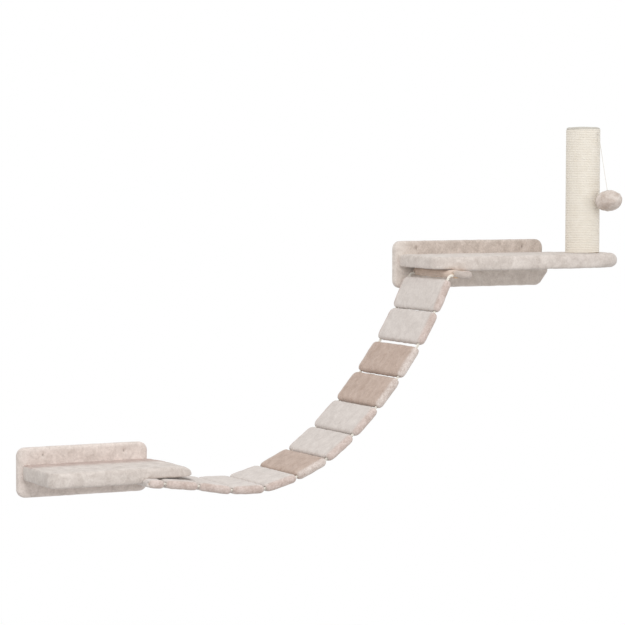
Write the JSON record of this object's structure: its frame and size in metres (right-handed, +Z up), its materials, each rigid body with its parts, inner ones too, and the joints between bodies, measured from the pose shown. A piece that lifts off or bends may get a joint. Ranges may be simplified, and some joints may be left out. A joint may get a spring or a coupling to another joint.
{
  "type": "cat climbing wall",
  "caption": "Two padded wall shelves for a cat, joined by a sagging ladder of plush treads on ropes, with a sisal scratching post and a hanging toy ball.",
  "frame": {"origin": "on the wall plane, midway between the two screw holes of the lower wall plate", "axes": "+X to the right along the wall, from the lower shelf to the upper one; +Y into the wall; +Z up"},
  "size_m": [2.1907, 0.33, 1.2121],
  "materials": {
    "unit_plush": "matte",
    "light_plush": "matte",
    "brown_plush": "matte",
    "ball_plush": "matte",
    "cap_plush": "matte",
    "sisal": "matte",
    "rope": "matte",
    "string": "matte",
    "board": "matte",
    "steel": "satin"
  },
  "bodies": {
    "wall_units": {"low_plate_board": "board", "low_plate_cover": "unit_plush", "low_shelf_board": "board", "low_shelf_cover": "unit_plush", "low_shelf_screws": "steel", "low_ladder_screws": "steel", "up_plate_board": "board", "up_plate_cover": "unit_plush", "up_shelf_board": "board", "up_shelf_cover": "unit_plush", "up_shelf_screws": "steel", "up_ladder_screws": "steel", "post_core": "board", "post_sisal": "sisal", "post_discs": "board", "post_cap": "cap_plush", "post_bolt": "steel", "toy_staple": "steel", "tread_01_board": "board", "tread_01_cover": "light_plush", "rope_01": "rope", "tread_13_board": "board", "tread_13_cover": "brown_plush", "rope_13": "rope"},
    "tread_02": {"tread_02_board": "board", "tread_02_cover": "light_plush", "rope_02": "rope"},
    "tread_03": {"tread_03_board": "board", "tread_03_cover": "light_plush", "rope_03": "rope"},
    "tread_04": {"tread_04_board": "board", "tread_04_cover": "light_plush", "rope_04": "rope"},
    "tread_05": {"tread_05_board": "board", "tread_05_cover": "light_plush", "rope_05": "rope"},
    "tread_06": {"tread_06_board": "board", "tread_06_cover": "brown_plush", "rope_06": "rope"},
    "tread_07": {"tread_07_board": "board", "tread_07_cover": "light_plush", "rope_07": "rope"},
    "tread_08": {"tread_08_board": "board", "tread_08_cover": "light_plush", "rope_08": "rope"},
    "tread_09": {"tread_09_board": "board", "tread_09_cover": "brown_plush", "rope_09": "rope"},
    "tread_10": {"tread_10_board": "board", "tread_10_cover": "brown_plush", "rope_10": "rope"},
    "tread_11": {"tread_11_board": "board", "tread_11_cover": "light_plush", "rope_11": "rope"},
    "tread_12": {"tread_12_board": "board", "tread_12_cover": "light_plush", "rope_12": "rope"},
    "toy_string": {"toy_string": "string"},
    "toy_ball": {"toy_ball": "ball_plush"}
  },
  "joints": [
    {"name": "sway_13", "type": "hinge", "parent": "wall_units", "child": "tread_12", "pos_m": [1.22994, -0.18, 0.56855], "axis": [0, -1, 0], "range_deg": [-3, 3], "stiffness_Nm_per_rad": 4, "springref_deg": -74.4},
    {"name": "sway_12", "type": "hinge", "parent": "tread_12", "child": "tread_11", "pos_m": [1.15637, -0.18, 0.44492], "axis": [0, -1, 0], "range_deg": [-1.06, 1.06], "stiffness_Nm_per_rad": 4, "springref_deg": -52},
    {"name": "sway_11", "type": "hinge", "parent": "tread_11", "child": "tread_10", "pos_m": [1.09148, -0.18, 0.33343], "axis": [0, -1, 0], "range_deg": [-1.59, 1.59], "stiffness_Nm_per_rad": 4, "springref_deg": -35.98},
    {"name": "sway_10", "type": "hinge", "parent": "tread_10", "child": "tread_09", "pos_m": [1.0154, -0.18, 0.22986], "axis": [0, -1, 0], "range_deg": [-1.6, 1.6], "stiffness_Nm_per_rad": 4, "springref_deg": -21.37},
    {"name": "sway_09", "type": "hinge", "parent": "tread_09", "child": "tread_08", "pos_m": [0.93277, -0.18, 0.13277], "axis": [0, -1, 0], "range_deg": [-1.13, 1.13], "stiffness_Nm_per_rad": 4, "springref_deg": -10.04},
    {"name": "sway_08", "type": "hinge", "parent": "tread_08", "child": "tread_07", "pos_m": [0.84372, -0.18, 0.04434], "axis": [0, -1, 0], "range_deg": [-0.366, 0.366], "stiffness_Nm_per_rad": 4, "springref_deg": -2.71},
    {"name": "sway_02", "type": "hinge", "parent": "wall_units", "child": "tread_02", "pos_m": [0.162, -0.18, -0.0795], "axis": [0, -1, 0], "range_deg": [-2.26, 2.26], "stiffness_Nm_per_rad": 4, "springref_deg": 80.9},
    {"name": "sway_03", "type": "hinge", "parent": "tread_02", "child": "tread_03", "pos_m": [0.28024, -0.18, -0.09297], "axis": [0, -1, 0], "range_deg": [-0.82, 0.82], "stiffness_Nm_per_rad": 4, "springref_deg": 51.71},
    {"name": "sway_04", "type": "hinge", "parent": "tread_03", "child": "tread_04", "pos_m": [0.39848, -0.18, -0.1134], "axis": [0, -1, 0], "range_deg": [-1.21, 1.21], "stiffness_Nm_per_rad": 4, "springref_deg": 29.01},
    {"name": "sway_05", "type": "hinge", "parent": "tread_04", "child": "tread_05", "pos_m": [0.51797, -0.18, -0.11486], "axis": [0, -1, 0], "range_deg": [-1.28, 1.28], "stiffness_Nm_per_rad": 4, "springref_deg": 12.62},
    {"name": "sway_06", "type": "hinge", "parent": "tread_05", "child": "tread_06", "pos_m": [0.63456, -0.18, -0.0834], "axis": [0, -1, 0], "range_deg": [-1.09, 1.09], "stiffness_Nm_per_rad": 4, "springref_deg": 3.03},
    {"name": "toy_swing", "type": "hinge", "parent": "wall_units", "child": "toy_string", "pos_m": [1.87281, -0.21851, 1.05205], "axis": [-0.9239, -0.3827, 0], "range_deg": [0, 70]},
    {"name": "toy_spin", "type": "hinge", "parent": "toy_string", "child": "toy_ball", "pos_m": [1.89022, -0.26055, 0.81705], "axis": [0.0727, -0.1756, -0.9818], "continuous": true}
  ],
  "couplings": [
    {"joint": "sway_12", "follows": "sway_13", "ratio": -0.3316},
    {"joint": "sway_11", "follows": "sway_13", "ratio": -0.49811},
    {"joint": "sway_10", "follows": "sway_13", "ratio": -0.49925},
    {"joint": "sway_09", "follows": "sway_13", "ratio": -0.35237},
    {"joint": "sway_08", "follows": "sway_13", "ratio": -0.11202},
    {"joint": "sway_02", "follows": "sway_13", "ratio": 0.70868},
    {"joint": "sway_03", "follows": "sway_13", "ratio": -0.25389},
    {"joint": "sway_04", "follows": "sway_13", "ratio": -0.37655},
    {"joint": "sway_05", "follows": "sway_13", "ratio": -0.39964},
    {"joint": "sway_06", "follows": "sway_13", "ratio": -0.34106}
  ]
}
